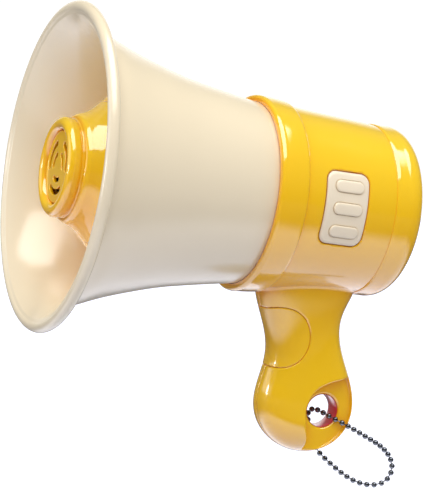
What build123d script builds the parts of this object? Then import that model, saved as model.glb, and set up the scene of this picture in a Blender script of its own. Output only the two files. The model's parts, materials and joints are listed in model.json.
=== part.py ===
"""Handheld megaphone with a bell horn, a barrel body, a grip with a trigger and a ball-chain lanyard.

Millimetres. The horn's axis is Y, the mouth opens towards -Y and its rim lies in the plane y = 0,
so the origin is the centre of the mouth. +Z is up, and the grip hangs below the barrel.
"""

import math
import os

from build123d import *

os.makedirs("parts", exist_ok=True)

# ---------------------------------------------------------------- driving dimensions
FIT = 0.1  # clearance of parts that are pushed together
SEAM = 0.3  # visible gap around the trigger, the panels and the keys

# horn
LIP_RING_RADIUS = 64.2
LIP_TUBE_RADIUS = 2.4
HORN_END_Y = 92.0

# driver pod in the horn
RING_RADIUS = 17.5
RING_TUBE = 2.8
FACE_RADIUS = 14.5
FACE_Y = 4.2
SECTOR_ANGLES = (30, 150, 270)
SLOT_RINGS = ((5.2, 1.5, 30), (10.0, 1.9, 33))  # centre radius, width, half angle
STEM_BORE = 11.0
SCREW_CIRCLE = 31.0
SCREW_ANGLES = (90, 210, 330)

# body: front collar, barrel and rear cap, along Y
COLLAR_FRONT_Y = 82.7
BARREL_FRONT_Y = 95.75
BARREL_REAR_Y = 136.8
CAP_FACE_Y = 152.4
CAP_RADIUS = 36.3
BARREL_WALL = 2.4
BARREL_OUTLINE = ((38.7, BARREL_FRONT_Y), (37.6, 110.0), (36.8, 124.0), (35.9, BARREL_REAR_Y))
MIC_OPENING = 13.0

# grip: height, front edge, rear edge and half width of each level
GRIP_LEVELS = (
    (-28.0, 96.4, 141.6, 15.5),
    (-37.0, 96.4, 141.6, 14.4),
    (-44.0, 98.1, 139.7, 13.2),
    (-50.0, 100.8, 138.3, 12.4),
    (-57.0, 102.6, 138.8, 12.1),
    (-65.0, 103.0, 142.0, 12.5),
    (-73.0, 102.4, 145.7, 13.2),
    (-80.0, 101.2, 148.2, 13.8),
    (-87.0, 101.3, 149.3, 14.0),
    (-93.0, 103.2, 147.2, 13.4),
    (-98.0, 106.3, 142.8, 12.1),
    (-102.0, 110.8, 139.0, 9.8),
    (-104.6, 115.8, 135.0, 6.6),
    (-105.6, 121.0, 130.4, 3.2),
)
GRIP_ROUND_START = -100.0  # below this level the grip closes to its rounded end
GRIP_WALL = 2.2
GRIP_SQUARENESS = 2.5  # exponent of the oval sections
CASE_SCREWS = ((103.3, 31.0), (128.4, 30.6), (124.8, -49.5), (110.6, -92.6))  # y, z

# trigger: a rocker with round cheeks, turning on a pin at their centre
TRIGGER_Y = 106.0
TRIGGER_Z = -57.4
TRIGGER_RADIUS = 12.6
TRIGGER_WALL = 1.5
PIN_RADIUS = 0.8
PIN_ARM_RADIUS = 1.45
SWITCH_Z = -66.0
SWITCH_BOARD_Y = 119.0
SPRING_START_Y = 107.3
SPRING_LENGTH = 11.1
SPRING_TURNS = 4

# key panel on the +X side
PANEL_Y = 113.75
PANEL_LENGTH = 19.5
PANEL_HEIGHT = 29.6
PANEL_CORNER = 4.0
KEY_Y = 114.25
KEY_LENGTH = 13.0
KEY_HEIGHT = 4.8
KEY_FLANGE_X = 33.4
KEY_BOARD_X = 26.0
KEYS = {"key_top": 9.1, "key_middle": 0.0, "key_bottom": -9.3}  # height of each key

# battery compartment on the -X side, three AAA cells
DOOR_Y = 116.5
DOOR_LENGTH = 31.0
DOOR_HEIGHT = 50.0
CELL_RADIUS = 5.25
CELL_LENGTH = 44.5
CELL_X = -16.5
CELL_PITCH = 10.75
MAIN_BOARD_X = -6.0

# lanyard
EYE_Y = 132.8
EYE_Z = -86.6
EYE_RADIUS = 6.94
WEB_HALF = 5.06  # half the thickness of the web around the eye
POCKET_EDGE = (
    (152.0, -68.6),
    (140.0, -71.4),
    (130.4, -73.9),
    (124.4, -77.8),
    (121.2, -85.0),
    (122.2, -92.4),
    (124.4, -98.4),
    (126.0, -108.0),
)
BEAD_RADIUS = 1.2
BEAD_INSIDE = 0.98
BEAD_HOLE = 0.62
LINK_RADIUS = 0.18
BEAD_COUNT = 36
FIRST_FOLD = (10, 31)  # the beads on the two strands where the chain folds
SECOND_FOLD = (14, 27)
CHAIN_LOOP = (
    (-7.3, 133.9, -95.6),
    (-7.3, 132.4, -91.6),
    (-5.7, 131.9, -88.3),
    (-2.4, 133.2, -87.2),
    (1.6, 135.2, -87.9),
    (5.0, 137.2, -88.9),
    (7.1, 140.6, -90.2),
    (7.4, 146.6, -92.5),
    (7.0, 154.6, -95.8),
    (5.2, 163.0, -99.6),
    (3.3, 169.2, -104.6),
    (2.0, 171.4, -109.9),
    (0.2, 169.8, -115.2),
    (-2.6, 161.8, -117.6),
    (-4.6, 151.7, -114.2),
    (-6.1, 143.9, -109.2),
    (-7.2, 137.6, -103.4),
)


# ---------------------------------------------------------------- helpers
def save(part, name):
    """Label a finished piece and write it."""
    part.label = name
    export_step(part, f"parts/{name}.step")


def joined(*pieces):
    """Pieces as one part, fused where they meet."""
    with BuildPart() as whole:
        for piece in pieces:
            add(piece)
    return whole.part


def cut(piece, *tools):
    """A piece with the tools' shapes removed."""
    with BuildPart() as rest:
        add(piece)
        for tool in tools:
            add(tool, mode=Mode.SUBTRACT)
    return rest.part


def common(piece, *others):
    """What a piece shares with all the others."""
    with BuildPart() as shared:
        add(piece)
        for other in others:
            add(other, mode=Mode.INTERSECT)
    return shared.part


def turned(draw_outline):
    """Revolve the outline, drawn in the (radius, y) plane, about the horn's axis."""
    with BuildPart() as body:
        with BuildSketch(Plane.XY):
            with BuildLine():
                draw_outline()
            make_face()
        revolve(axis=Axis.Y)
    return body.part


def ring(*corners):
    """A turned ring with a straight-sided section, given as (radius, y) corners."""
    return turned(lambda: Polyline(*corners, close=True))


def bar_x(radius, y, z, x_from, x_to):
    """A round bar parallel to X."""
    with BuildPart() as body:
        with BuildSketch(Plane.YZ.offset(x_from)):
            with Locations((y, z)):
                Circle(radius)
        extrude(amount=x_to - x_from)
    return body.part


def bar_y(radius, x, z, y_from, y_to):
    """A round bar parallel to Y."""
    with BuildPart() as body:
        with BuildSketch(Plane(origin=(x, y_from, z), x_dir=(1, 0, 0), z_dir=(0, 1, 0))):
            Circle(radius)
        extrude(amount=y_to - y_from)
    return body.part


def block(x, y, z):
    """A box between two limits on each axis."""
    with BuildPart() as body:
        with Locations(((x[0] + x[1]) / 2, (y[0] + y[1]) / 2, (z[0] + z[1]) / 2)):
            Box(x[1] - x[0], y[1] - y[0], z[1] - z[0])
    return body.part


def side_prism(draw_sketch, x_from, x_to):
    """A prism parallel to X whose section is drawn in (y, z)."""
    with BuildPart() as body:
        with BuildSketch(Plane.YZ.offset(x_from)):
            draw_sketch()
        extrude(amount=x_to - x_from)
    return body.part


def panel_prism(centre_y, length, height, corner, x_from, x_to):
    """A rounded rectangular prism parallel to X, level with the horn's axis."""

    def section():
        with Locations((centre_y, 0)):
            RectangleRounded(length, height, corner)

    return side_prism(section, x_from, x_to)


def key_prism(z, grow, x_from, x_to):
    """A pill-shaped prism parallel to X, made larger all round by grow."""

    def section():
        with Locations((KEY_Y, z)):
            SlotOverall(KEY_LENGTH + 2 * grow, KEY_HEIGHT + 2 * grow)

    return side_prism(section, x_from, x_to)


def barrel_skin(inner, outer):
    """A turned shell that follows the barrel, from inner to outer millimetres off its surface."""

    def outline():
        outside = Spline(*[(r + outer, y) for r, y in BARREL_OUTLINE])
        inside = Spline(*[(r + inner, y) for r, y in BARREL_OUTLINE])
        Line(outside @ 0, inside @ 0)
        Line(outside @ 1, inside @ 1)

    return turned(outline)


def wire(start, middle, end, leaves, arrives, radius=0.6):
    """A round insulated wire that leaves its start and reaches its end along the given directions."""
    with BuildPart() as body:
        with BuildLine() as path:
            Spline(start, *middle, end, tangents=[leaves, arrives])
        with BuildSketch(Plane(origin=path.line @ 0, z_dir=path.line % 0)):
            Circle(radius)
        sweep()
    return body.part


def polar_points(radius, angles):
    """Points (x, z) on a circle about the horn's axis."""
    return [(radius * math.cos(math.radians(a)), radius * math.sin(math.radians(a))) for a in angles]


# ---------------------------------------------------------------- horn
def horn_outline():
    tube = LIP_TUBE_RADIUS
    flat = 0.8
    outside = Spline(
        (58.6, 4.8),
        (54.2, 15),
        (46.7, 37),
        (40.55, 65),
        (37.95, COLLAR_FRONT_Y),
        tangents=[(-1, 1.1), (-0.13, 1)],
    )
    end = Polyline(outside @ 1, (37.2, HORN_END_Y), (33, HORN_END_Y), (33, 90.1), (35, 90.1))
    inside = Spline(
        end @ 1,
        (38.35, 65),
        (44.5, 36.4),
        (51.9, 14),
        (58.0, 4.6),
        (62.0, 1.0),
        tangents=[(0.08, -1), (1, -0.62)],
    )
    inner_round = ThreePointArc(inside @ 1, (62.7, 0.35), (LIP_RING_RADIUS - flat, 0))
    front = Line(inner_round @ 1, (LIP_RING_RADIUS + flat, 0))
    bead = ThreePointArc(front @ 1, (LIP_RING_RADIUS + tube, tube), (LIP_RING_RADIUS, 2 * tube))
    Line(bead @ 1, outside @ 0)


save(turned(horn_outline), "horn_bell")


# ---------------------------------------------------------------- driver pod in the horn
def cover_outline():
    inner_rim = (RING_RADIUS - RING_TUBE, 3.7)
    outer_rim = (RING_RADIUS + RING_TUBE, 3.7)
    rim = ThreePointArc(inner_rim, (RING_RADIUS, 3.7 - RING_TUBE), outer_rim)
    groove = Spline(rim @ 1, (20.2, 5.4), (19.7, 6.9), tangents=[(0, 1), (-0.4, 1)])
    shoulder = ThreePointArc(groove @ 1, (21.7, 7.6), (22.6, 9.6))
    skirt = Spline(shoulder @ 1, (23.2, 12.4), (25.4, 15.6), (28.2, 18.0), tangents=[(0.1, 1), (1, 0.7)])
    edge = ThreePointArc(skirt @ 1, (28.6, 18.9), (28.1, 19.5))
    Polyline(
        edge @ 1,
        (26.3, 19.5),
        (26.3, 18.4),
        (21.4, 14.0),
        (20.6, 11.6),
        (18.4, 9.0),
        (18.4, 7.1),
        (13.2, 7.1),
        (13.2, 5.7),
        (RING_RADIUS - RING_TUBE, 5.7),
        inner_rim,
    )


save(turned(cover_outline), "driver_cover")

FACE_PLANE = Plane(origin=(0, FACE_Y, 0), x_dir=(1, 0, 0), z_dir=(0, -1, 0))
slot_arcs = [
    (CenterArc((0, 0), radius, sector - half_angle, 2 * half_angle), width)
    for sector in SECTOR_ANGLES
    for radius, width, half_angle in SLOT_RINGS
]
with BuildPart() as grille_disc:
    with BuildSketch(FACE_PLANE):
        Circle(FACE_RADIUS)
        for arc, width in slot_arcs:
            SlotArc(arc, width, mode=Mode.SUBTRACT)
    extrude(amount=-1.4)
save(grille_disc.part, "grille_disc")

base_body = ring(
    (26.2, 18.5),
    (26.2, 19.6),
    (28.2, 19.6),
    (34.0, 24.0),
    (43.1, 41.0),
    (41.2, 41.6),
    (36.0, 32.0),
    (13.0, 32.0),
    (13.0, 88.0),
    (34.8, 88.0),
    (34.8, 90.0),
    (STEM_BORE, 90.0),
    (STEM_BORE, 30.0),
    (34.9, 30.0),
    (32.4, 25.6),
    (27.0, 21.4),
    (24.6, 21.4),
    (24.6, 18.5),
)
screw_points = polar_points(SCREW_CIRCLE, SCREW_ANGLES)
base_bosses = [bar_y(3.2, x, z, 81.5, 88.5) for x, z in screw_points]
base_holes = [bar_y(1.3, x, z, 83, 91) for x, z in screw_points]
save(cut(joined(base_body, *base_bosses), *base_holes), "driver_base")

basket = ring(
    (15.6, 7.2),
    (18.2, 7.2),
    (18.2, 8.2),
    (16.8, 8.4),
    (12.4, 14.2),
    (6.2, 14.2),
    (6.2, 13.2),
    (11.6, 13.2),
    (15.6, 8.0),
)
basket_windows = [bar_y(2.2, x, z, 8.6, 12.8) for x, z in polar_points(14.2, range(30, 390, 60))]
save(cut(basket, *basket_windows), "speaker_frame")
save(ring((6.2, 14.3), (10.5, 14.3), (10.5, 18.3), (6.2, 18.3)), "speaker_magnet")
save(ring((0, 13.4), (4.6, 13.4), (4.6, 18.4), (10.5, 18.4), (10.5, 20.0), (0, 20.0)), "speaker_pole")
save(ring((14.5, 7.3), (15.5, 7.3), (15.5, 8.0), (14.5, 8.0)), "speaker_surround")
save(
    ring(
        (0, 9.7),
        (3.0, 10.2),
        (5.2, 11.3),
        (14.1, 7.6),
        (14.1, 8.0),
        (5.7, 12.0),
        (5.7, 17.6),
        (5.2, 17.6),
        (5.2, 11.9),
        (3.0, 10.75),
        (0, 10.25),
    ),
    "speaker_cone",
)


# ---------------------------------------------------------------- front collar
def collar_outline():
    crown = Spline(
        (39.4, COLLAR_FRONT_Y + 0.3),
        (40.9, 87.0),
        (40.6, 91.0),
        (39.25, BARREL_FRONT_Y - 0.35),
        tangents=[(0.8, 1), (-0.45, 1)],
    )
    rear = BARREL_FRONT_Y - FIT
    Polyline(
        crown @ 1,
        (38.9, rear),
        (35.7, rear),
        (35.7, 100),
        (34.0, 100),
        (34.0, rear),
        (27.5, rear),
        (27.5, HORN_END_Y + FIT),
        (37.3, HORN_END_Y + FIT),
        (38.06, COLLAR_FRONT_Y),
        (39.0, COLLAR_FRONT_Y),
        crown @ 0,
    )


collar_holes = [bar_y(1.5, x, z, 91, 97) for x, z in screw_points]
save(cut(turned(collar_outline), *collar_holes), "front_collar")
flange_heads = [bar_y(2.6, x, z, 95.7, 97.5) for x, z in screw_points]
flange_shanks = [bar_y(1.25, x, z, 84, 95.8) for x, z in screw_points]
save(joined(*flange_heads, *flange_shanks), "flange_screws")


# ---------------------------------------------------------------- barrel and grip housing
def grip_section(front, rear, half_width, count=24):
    """Points of an oval section of the grip, starting at its rear edge."""
    centre = (front + rear) / 2
    half_depth = (rear - front) / 2
    power = 2 / GRIP_SQUARENESS
    points = []
    for i in range(count):
        angle = 2 * math.pi * i / count
        across, along = math.sin(angle), math.cos(angle)
        x = half_width * math.copysign(abs(across) ** power, across)
        y = centre + half_depth * math.copysign(abs(along) ** power, along)
        points.append((x, y))
    return points


def grip_solid(inset=0.0):
    """The grip's outer form, or the same form made smaller by inset on every side."""
    with BuildPart() as body:
        for z, front, rear, half_width in GRIP_LEVELS:
            if half_width - inset < 1.5:
                continue
            level = z + inset if z < GRIP_ROUND_START else z
            with BuildSketch(Plane.XY.offset(level)):
                with BuildLine():
                    Spline(*grip_section(front + inset, rear - inset, half_width - inset), periodic=True)
                make_face()
        loft()
    return body.part


def pocket_prism(grow, x_from, x_to):
    """The open corner of the grip around the lanyard eye, made larger by grow."""
    edge = Spline(*POCKET_EDGE)
    moved = []
    for i in range(len(POCKET_EDGE)):
        share = i / (len(POCKET_EDGE) - 1)
        place, along = edge @ share, edge % share
        moved.append((place.X + grow * along.Y, place.Y - grow * along.X))

    with BuildPart() as body:
        with BuildSketch(Plane.YZ.offset(x_from)):
            with BuildLine():
                side = Spline(*moved)
                Polyline(side @ 1, (160, -112), (160, -66), side @ 0)
            make_face()
        extrude(amount=x_to - x_from)
    return body.part


def barrel_core(depth):
    """Everything deeper than depth below the barrel's surface, run on to the front and rear."""

    def outline():
        wall = Spline(*[(r - depth, y) for r, y in BARREL_OUTLINE])
        Polyline(wall @ 1, (BARREL_OUTLINE[-1][0] - depth, 160), (0, 160), (0, 60), (CAP_RADIUS, 60), wall @ 0)

    return turned(outline)


def cheek_disc(radius):
    """A disc about the trigger's pivot, through the whole grip."""
    return bar_x(radius, TRIGGER_Y, TRIGGER_Z, -20, 20)


grip = grip_solid()
barrel_space = barrel_core(BARREL_WALL)
cap_zone = ring((0, BARREL_REAR_Y), (CAP_RADIUS + SEAM, BARREL_REAR_Y), (CAP_RADIUS + SEAM, 160), (0, 160))
collar_zone = ring((0, 80), (41.2, 80), (41.2, 92), (39.5, BARREL_FRONT_Y), (0, BARREL_FRONT_Y))
grip_hollow = cut(grip_solid(GRIP_WALL), pocket_prism(2.4, -20, 20))
grip_shell = cut(grip, barrel_space, cap_zone, collar_zone)
shell = cut(joined(barrel_skin(-BARREL_WALL, 0), grip_shell), grip_hollow)

# fittings inside: screw posts, the trigger's pin arm, and rails for the boards
screw_posts = [bar_x(3.1, y, z, -22, 22) for y, z in CASE_SCREWS]
pin_nose = bar_x(PIN_ARM_RADIUS, TRIGGER_Y, TRIGGER_Z, -3.0, 3.0)
pin_arm = joined(
    pin_nose,
    block(
        (-3, 3),
        (TRIGGER_Y, TRIGGER_Y + 6.5),
        (TRIGGER_Z - PIN_ARM_RADIUS, TRIGGER_Z + PIN_ARM_RADIUS),
    ),
    block((-3, 3), (TRIGGER_Y + 6, 121.4), (TRIGGER_Z - 2.8, TRIGGER_Z + 2.8)),
)
pin_bridge = block((-20, 20), (119.2, 121.4), (TRIGGER_Z - 2.8, -48.0))
switch_frame = cut(
    block((-20, 20), (SWITCH_BOARD_Y, SWITCH_BOARD_Y + 3.6), (SWITCH_Z - 7.4, SWITCH_Z + 5.6)),
    block((-7.1, 7.1), (SWITCH_BOARD_Y - 1, SWITCH_BOARD_Y + 1.7), (SWITCH_Z - 6.1, SWITCH_Z + 5.1)),
    block((-4.6, 4.6), (SWITCH_BOARD_Y - 1, SWITCH_BOARD_Y + 5), (SWITCH_Z - 5.2, SWITCH_Z + 4.2)),
)
key_rails = [
    cut(
        block((KEY_BOARD_X - 3, 40), (103, 124), (side * 15 - 1.6, side * 15 + 1.6)),
        block((KEY_BOARD_X - 0.05, 28.2), (102, 125), (side * 13 - 1.2, side * 13 + 1.2)),
    )
    for side in (-1, 1)
]
holder_ribs = [
    block((-24, -12), (y, y + 2.4), (side * 31.2 - 5, side * 31.2 + 5)) for y in (106, 124) for side in (-1, 1)
]
fittings = common(
    joined(*screw_posts, pin_arm, pin_bridge, switch_frame, *key_rails, *holder_ribs),
    joined(barrel_core(BARREL_WALL / 2), grip_hollow),
)

trigger_space = cheek_disc(TRIGGER_RADIUS + SEAM)
kept_arm = common(pin_arm, cheek_disc(TRIGGER_RADIUS + SEAM + 0.2), grip_solid(TRIGGER_WALL))
with_arm = joined(cut(joined(shell, fittings), trigger_space), kept_arm)

panel_recess = common(
    panel_prism(PANEL_Y, PANEL_LENGTH + 2 * SEAM, PANEL_HEIGHT + 2 * SEAM, PANEL_CORNER + SEAM, 24, 45),
    barrel_skin(-1.3, 2),
)
panel_window = panel_prism(KEY_Y, KEY_LENGTH + 3.4, 25.4, 2.0, 28, 45)
door_recess = common(
    panel_prism(DOOR_Y, DOOR_LENGTH + 2 * SEAM, DOOR_HEIGHT + 2 * SEAM, PANEL_CORNER + SEAM, -45, -10),
    barrel_skin(-1.4, 2),
)
door_window = panel_prism(DOOR_Y, DOOR_LENGTH - 2.4, DOOR_HEIGHT - 3.0, 2.0, -45, -12)
screw_wells = [bar_x(2.5, y, z, -30, -9.0) for y, z in CASE_SCREWS]
screw_bores = [bar_x(1.28, y, z, -10, 8.6) for y, z in CASE_SCREWS]
housing = cut(
    with_arm,
    bar_x(PIN_RADIUS, TRIGGER_Y, TRIGGER_Z, -20, 20),
    pocket_prism(0, WEB_HALF, 24),
    pocket_prism(0, -24, -WEB_HALF),
    bar_x(EYE_RADIUS + 0.9, EYE_Y, EYE_Z, -20, 20),
    panel_recess,
    panel_window,
    door_recess,
    door_window,
    *screw_wells,
    *screw_bores,
)
save(common(housing, block((0.02, 60), (60, 170), (-130, 60))), "housing_left")
save(common(housing, block((-60, -0.02), (60, 170), (-130, 60))), "housing_right")

case_heads = [bar_x(2.3, y, z, -10.8, -9.0) for y, z in CASE_SCREWS]
case_shanks = [bar_x(1.25, y, z, -9.1, 8.0) for y, z in CASE_SCREWS]
save(joined(*case_heads, *case_shanks), "case_screws")


# ---------------------------------------------------------------- rear cap and microphone
def cap_outline():
    front = BARREL_REAR_Y + 0.05
    edge = Line((CAP_RADIUS - 0.6, front), (CAP_RADIUS, front + 0.9))
    side = Line(edge @ 1, (CAP_RADIUS, 145.0))
    shoulder = Spline(side @ 1, (34.2, 149.2), (30.2, 151.4), (24.0, CAP_FACE_Y), tangents=[(0, 1), (-1, 0)])
    Polyline(
        shoulder @ 1,
        (MIC_OPENING, CAP_FACE_Y),
        (MIC_OPENING, 151.0),
        (11.5, 151.0),
        (11.5, 149.8),
        (24.0, 149.8),
        (29.6, 148.9),
        (33.0, 146.0),
        (33.9, 143.0),
        (33.9, 139.0),
        (31.2, 139.0),
        (31.2, 132.4),
        (33.3, 132.4),
        (33.3, front),
        edge @ 0,
    )


save(turned(cap_outline), "rear_cap")

with BuildPart() as microphone_grille:
    with BuildSketch(Plane(origin=(0, 151.05, 0), x_dir=(1, 0, 0), z_dir=(0, 1, 0))):
        Circle(MIC_OPENING - FIT)
        for ring_radius, count in ((0, 1), (3.6, 6), (7.2, 12)):
            with PolarLocations(ring_radius, count):
                Circle(0.8, mode=Mode.SUBTRACT)
    extrude(amount=1.3)
save(microphone_grille.part, "microphone_grille")
save(ring((0, 142.8), (4.85, 142.8), (4.85, 149.3), (0, 149.3)), "microphone_capsule")
save(
    ring((4.9, 142.6), (7, 142.6), (7, 147.6), (11.4, 147.6), (11.4, 150.95), (7, 150.95), (4.9, 149.6)),
    "microphone_boot",
)

# ---------------------------------------------------------------- key panel
key_windows = [key_prism(z, SEAM / 2, 24, 45) for z in KEYS.values()]
panel_body = common(
    barrel_skin(-1.2, 0.5), panel_prism(PANEL_Y, PANEL_LENGTH, PANEL_HEIGHT, PANEL_CORNER, 24, 45)
)
save(cut(panel_body, *key_windows), "key_plate")

key_skin = barrel_skin(-8, 1.6)
for key_name, key_z in KEYS.items():
    cap = common(key_prism(key_z, 0, KEY_FLANGE_X - 0.2, 45), key_skin)
    flange = block((KEY_FLANGE_X - 1, KEY_FLANGE_X), (KEY_Y - 7.4, KEY_Y + 7.4), (key_z - 3.1, key_z + 3.1))
    stem = bar_x(1.4, KEY_Y, key_z, 31.55, KEY_FLANGE_X - 0.5)
    with BuildPart() as key:
        add(cap)
        fillet(key.faces().sort_by(Axis.X)[-1].edges(), 0.7)
        add(flange)
        add(stem)
    save(key.part, key_name)

save(block((KEY_BOARD_X, KEY_BOARD_X + 1.6), (104.2, 123.4), (-14, 14)), "key_board")
switch_bodies = [
    block((KEY_BOARD_X + 1.65, 30.2), (KEY_Y - 3, KEY_Y + 3), (z - 3, z + 3)) for z in KEYS.values()
]
switch_plungers = [bar_x(1.7, KEY_Y, z, 30.1, 31.0) for z in KEYS.values()]
save(joined(*switch_bodies, *switch_plungers), "key_switches")

# ---------------------------------------------------------------- battery door, holder and boards
save(
    common(
        barrel_skin(-1.35, 0.15),
        panel_prism(DOOR_Y, DOOR_LENGTH, DOOR_HEIGHT, PANEL_CORNER, -45, -10),
    ),
    "battery_door",
)

cell_ys = [DOOR_Y - 1.6 + step * CELL_PITCH for step in (-1, 0, 1)]
holder_y = (cell_ys[0] - CELL_RADIUS - 1.3, cell_ys[-1] + CELL_RADIUS + 1.3)
holder_z = CELL_LENGTH / 2 + 2.6
post_points = [(y, z) for y in (104.0, 127.0) for z in (-17, 17)]
tray = cut(
    block((CELL_X - 5.2, CELL_X + 6.8), holder_y, (-holder_z - 1.2, holder_z + 1.2)),
    block((CELL_X - 6.2, CELL_X + 5.4), (holder_y[0] + 1.2, holder_y[1] - 1.2), (-holder_z, holder_z)),
)
tray_posts = [bar_x(2.2, y, z, CELL_X + 6.5, MAIN_BOARD_X - 0.05) for y, z in post_points]
post_bores = [bar_x(0.83, y, z, MAIN_BOARD_X - 3.6, MAIN_BOARD_X + 1) for y, z in post_points]
holder = cut(common(joined(tray, *tray_posts), barrel_core(BARREL_WALL + 0.15)), *post_bores)
save(holder, "battery_holder")

with BuildPart() as battery_cells:
    with BuildSketch(Plane.XY.offset(-CELL_LENGTH / 2)):
        with Locations(*[(CELL_X, y) for y in cell_ys]):
            Circle(CELL_RADIUS)
    extrude(amount=CELL_LENGTH - 0.8)
    with BuildSketch(Plane.XY.offset(CELL_LENGTH / 2 - 0.8)):
        with Locations(*[(CELL_X, y) for y in cell_ys]):
            Circle(1.9)
    extrude(amount=0.8)
save(battery_cells.part, "battery_cells")

contact_z = (CELL_LENGTH / 2 + 0.6, CELL_LENGTH / 2 + 1.1)
contacts = []
for y in cell_ys:
    contacts.append(block((CELL_X - 4, CELL_X + 4), (y - 4.2, y + 4.2), contact_z))
    contacts.append(block((CELL_X - 4, CELL_X + 4), (y - 4.2, y + 4.2), (-contact_z[1], -contact_z[0])))
save(joined(*contacts), "battery_contacts")

board_holes = [bar_x(0.9, y, z, MAIN_BOARD_X - 1, MAIN_BOARD_X + 3) for y, z in post_points]
save(cut(block((MAIN_BOARD_X, MAIN_BOARD_X + 1.6), (101.5, 129.5), (-20, 20)), *board_holes), "main_board")
board_face = MAIN_BOARD_X + 1.65
capacitors = [bar_x(3.2, y, -9, board_face, board_face + 8) for y in (108, 116)]
chips = [
    block((board_face, board_face + 1.7), (110, 118), (2, 12)),
    block((board_face, board_face + 5), (121, 127), (-4, 6)),
]
save(joined(*capacitors, *chips), "board_parts")
board_heads = [bar_x(1.6, y, z, board_face, board_face + 1.2) for y, z in post_points]
board_shanks = [bar_x(0.8, y, z, MAIN_BOARD_X - 3, board_face + 0.1) for y, z in post_points]
save(joined(*board_heads, *board_shanks), "board_screws")

# ---------------------------------------------------------------- trigger
trigger_skin = cut(common(grip, cheek_disc(TRIGGER_RADIUS)), grip_solid(TRIGGER_WALL))
trigger_bosses = [bar_x(2.4, TRIGGER_Y, TRIGGER_Z, 3.2, 10.5), bar_x(2.4, TRIGGER_Y, TRIGGER_Z, -10.5, -3.2)]
trigger_post = joined(bar_y(5.2, 0, SWITCH_Z, 104.0, 106.8), bar_y(1.8, 0, SWITCH_Z, 104.0, 113.9))
trigger_inner = common(joined(*trigger_bosses, trigger_post), grip, cheek_disc(TRIGGER_RADIUS))
trigger = cut(joined(trigger_skin, trigger_inner), bar_x(PIN_RADIUS + 0.05, TRIGGER_Y, TRIGGER_Z, -20, 20))
save(trigger, "trigger")
save(bar_x(PIN_RADIUS, TRIGGER_Y, TRIGGER_Z, -6.4, 6.4), "trigger_pin")

with BuildPart() as spring_coil:
    with BuildLine() as coil:
        Helix(pitch=SPRING_LENGTH / SPRING_TURNS, height=SPRING_LENGTH, radius=4.5)
    with BuildSketch(Plane(origin=coil.line @ 0, z_dir=coil.line % 0)):
        Circle(0.35)
    sweep(is_frenet=True)
spring_seat = Plane(origin=(0, SPRING_START_Y, SWITCH_Z), x_dir=(1, 0, 0), z_dir=(0, 1, 0))
save(spring_seat.location * spring_coil.part, "trigger_spring")

save(
    joined(
        block((-3, 3), (115.6, SWITCH_BOARD_Y - 0.05), (SWITCH_Z - 3, SWITCH_Z + 3)),
        bar_y(1.6, 0, SWITCH_Z, 115.0, 115.7),
    ),
    "trigger_switch",
)
save(block((-7, 7), (SWITCH_BOARD_Y, SWITCH_BOARD_Y + 1.6), (SWITCH_Z - 6, SWITCH_Z + 5)), "trigger_board")

# ---------------------------------------------------------------- wires
SIDES = (-1, 1)  # the two wires of each pair
BOARD_END = board_face + 0.02
save(
    joined(
        *[
            wire(
                (side * 3, 20.05, 0),
                [(side * 2, 50, 2), (side * 1.5, 92, side * 2 + 3)],
                (BOARD_END, 106, side * 3 + 5),
                leaves=(0, 1, 0),
                arrives=(-1, 0, 0),
            )
            for side in SIDES
        ]
    ),
    "speaker_wires",
)
save(
    joined(
        *[
            wire(
                (side * 2, 142.7, 0),
                [(board_face + 3, 134, side * 2 + 8)],
                (BOARD_END, 127, side * 2 + 12),
                leaves=(0, -1, 0),
                arrives=(-1, 0, 0),
            )
            for side in SIDES
        ]
    ),
    "microphone_wires",
)
save(
    joined(
        *[
            wire(
                (side * 3, SWITCH_BOARD_Y + 1.65, -64),
                [(side * 3 + 2, 129, -45)],
                (BOARD_END, 124, side * 2 - 14),
                leaves=(0, 1, 0),
                arrives=(-1, 0, 0),
            )
            for side in SIDES
        ]
    ),
    "trigger_wires",
)
save(
    joined(
        *[
            wire(
                (KEY_BOARD_X - 0.05, 118, side * 2),
                [],
                (BOARD_END, 119.5, side * 2 + 14),
                leaves=(-1, 0, 0),
                arrives=(-1, 0, 0),
            )
            for side in SIDES
        ]
    ),
    "key_wires",
)

# ---------------------------------------------------------------- lanyard
save(
    cut(bar_x(EYE_RADIUS + 0.86, EYE_Y, EYE_Z, -4.9, 4.9), bar_x(EYE_RADIUS, EYE_Y, EYE_Z, -5, 5)),
    "lanyard_eyelet",
)

chain_path = Spline(*CHAIN_LOOP, periodic=True)
bead_centres = [chain_path @ (i / BEAD_COUNT) for i in range(BEAD_COUNT)]
bead_axes = [bead_centres[(i + 1) % BEAD_COUNT] - bead_centres[i - 1] for i in range(BEAD_COUNT)]

with BuildPart() as bead:
    Sphere(BEAD_RADIUS)
    Sphere(BEAD_INSIDE, mode=Mode.SUBTRACT)
    Cylinder(BEAD_HOLE, 2 * BEAD_RADIUS + 1, mode=Mode.SUBTRACT)


def link_solid(length):
    """A wire link along Z with a cupped knob at each end, for two bead centres this far apart."""
    with BuildPart() as link:
        with BuildSketch(Plane.XZ):
            with BuildLine():
                cup = Line((0, 0.32), (0.6, 0.32))
                knob = ThreePointArc(cup @ 1, (0.54, 0.6), (LINK_RADIUS, 0.84))
                rod = Line(knob @ 1, (LINK_RADIUS, length - 0.84))
                far_knob = ThreePointArc(rod @ 1, (0.54, length - 0.6), (0.6, length - 0.32))
                Polyline(far_knob @ 1, (0, length - 0.32), cup @ 0)
            make_face()
        revolve(axis=Axis.Z)
    return link.part


def beads(numbers):
    """The chain's beads with these numbers."""
    return joined(*[Plane(origin=bead_centres[i], z_dir=bead_axes[i]).location * bead.part for i in numbers])


def links(numbers):
    """The links that start from the beads with these numbers."""
    placed = []
    for i in numbers:
        start, end = bead_centres[i], bead_centres[(i + 1) % BEAD_COUNT]
        solid = link_solid((end - start).length)
        placed.append(Plane(origin=start, z_dir=end - start).location * solid)
    return joined(*placed)


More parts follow.
